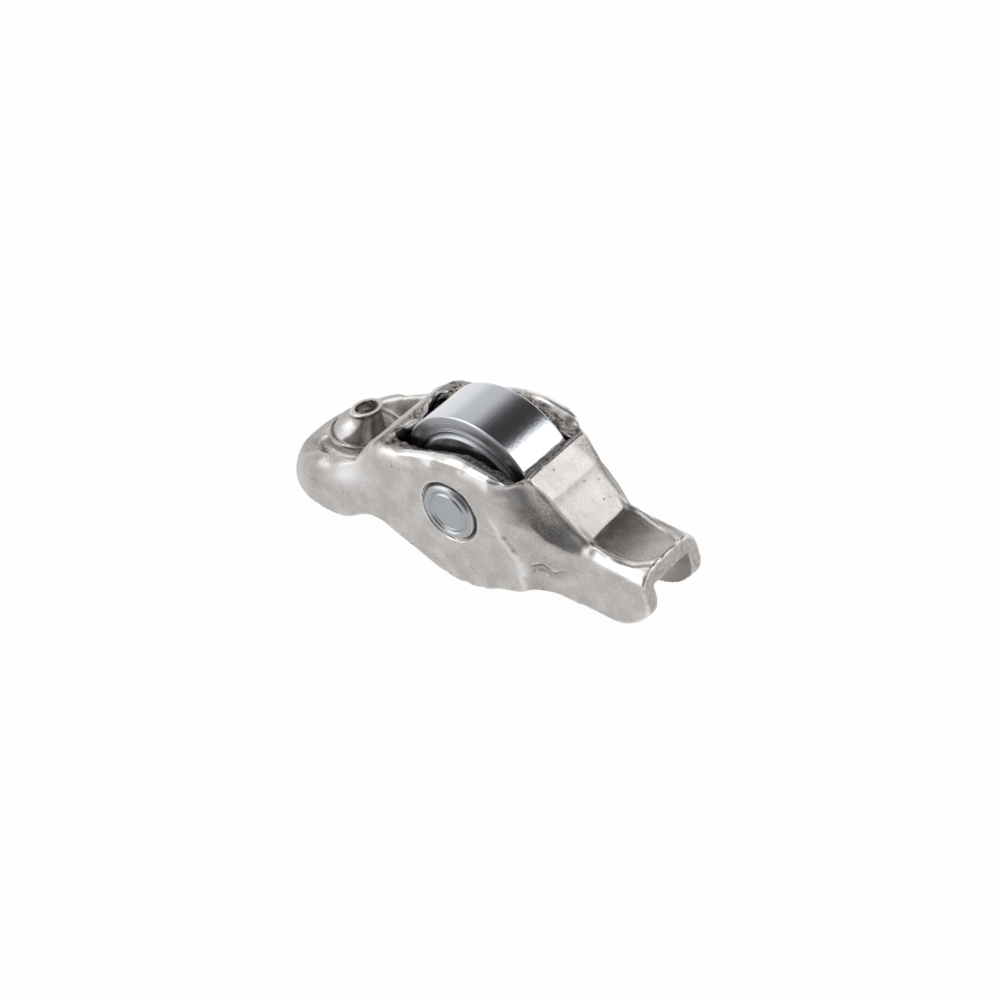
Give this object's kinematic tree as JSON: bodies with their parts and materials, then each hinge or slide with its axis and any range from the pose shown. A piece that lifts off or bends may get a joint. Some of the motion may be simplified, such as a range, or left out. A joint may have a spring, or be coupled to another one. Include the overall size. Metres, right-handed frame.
{
  "type": "roller rocker arm",
  "caption": "Pressed steel roller finger follower for an overhead camshaft: cam roller on needle rollers, ball socket at one end, valve pad at the other.",
  "frame": {"origin": "middle of the roller axle", "axes": "+X towards the valve tip, +Y along the roller axle, +Z towards the camshaft"},
  "size_m": [0.0474, 0.015, 0.0175],
  "materials": {
    "arm_steel": "tumbled satin steel, pressed and case hardened",
    "axle_steel": "ground steel pin with staked ends",
    "roller_steel": "ground and polished bearing steel",
    "needle_steel": "polished bearing steel"
  },
  "bodies": {
    "arm": {"arm_body": "arm_steel", "roller_axle": "axle_steel"},
    "roller": {"cam_roller": "roller_steel"},
    "needle_set": {"needle_01": "needle_steel", "needle_02": "needle_steel", "needle_03": "needle_steel", "needle_04": "needle_steel", "needle_05": "needle_steel", "needle_06": "needle_steel", "needle_07": "needle_steel", "needle_08": "needle_steel", "needle_09": "needle_steel", "needle_10": "needle_steel", "needle_11": "needle_steel", "needle_12": "needle_steel", "needle_13": "needle_steel", "needle_14": "needle_steel", "needle_15": "needle_steel", "needle_16": "needle_steel", "needle_17": "needle_steel"}
  },
  "joints": [
    {"name": "roller_spin", "type": "hinge", "parent": "arm", "child": "roller", "pos_m": [0, 0, 0], "axis": [0, 1, 0], "continuous": true},
    {"name": "needle_orbit", "type": "hinge", "parent": "arm", "child": "needle_set", "pos_m": [0, 0, 0], "axis": [0, 1, 0], "continuous": true}
  ],
  "couplings": [
    {"joint": "needle_orbit", "follows": "roller_spin", "ratio": 0.5951}
  ]
}
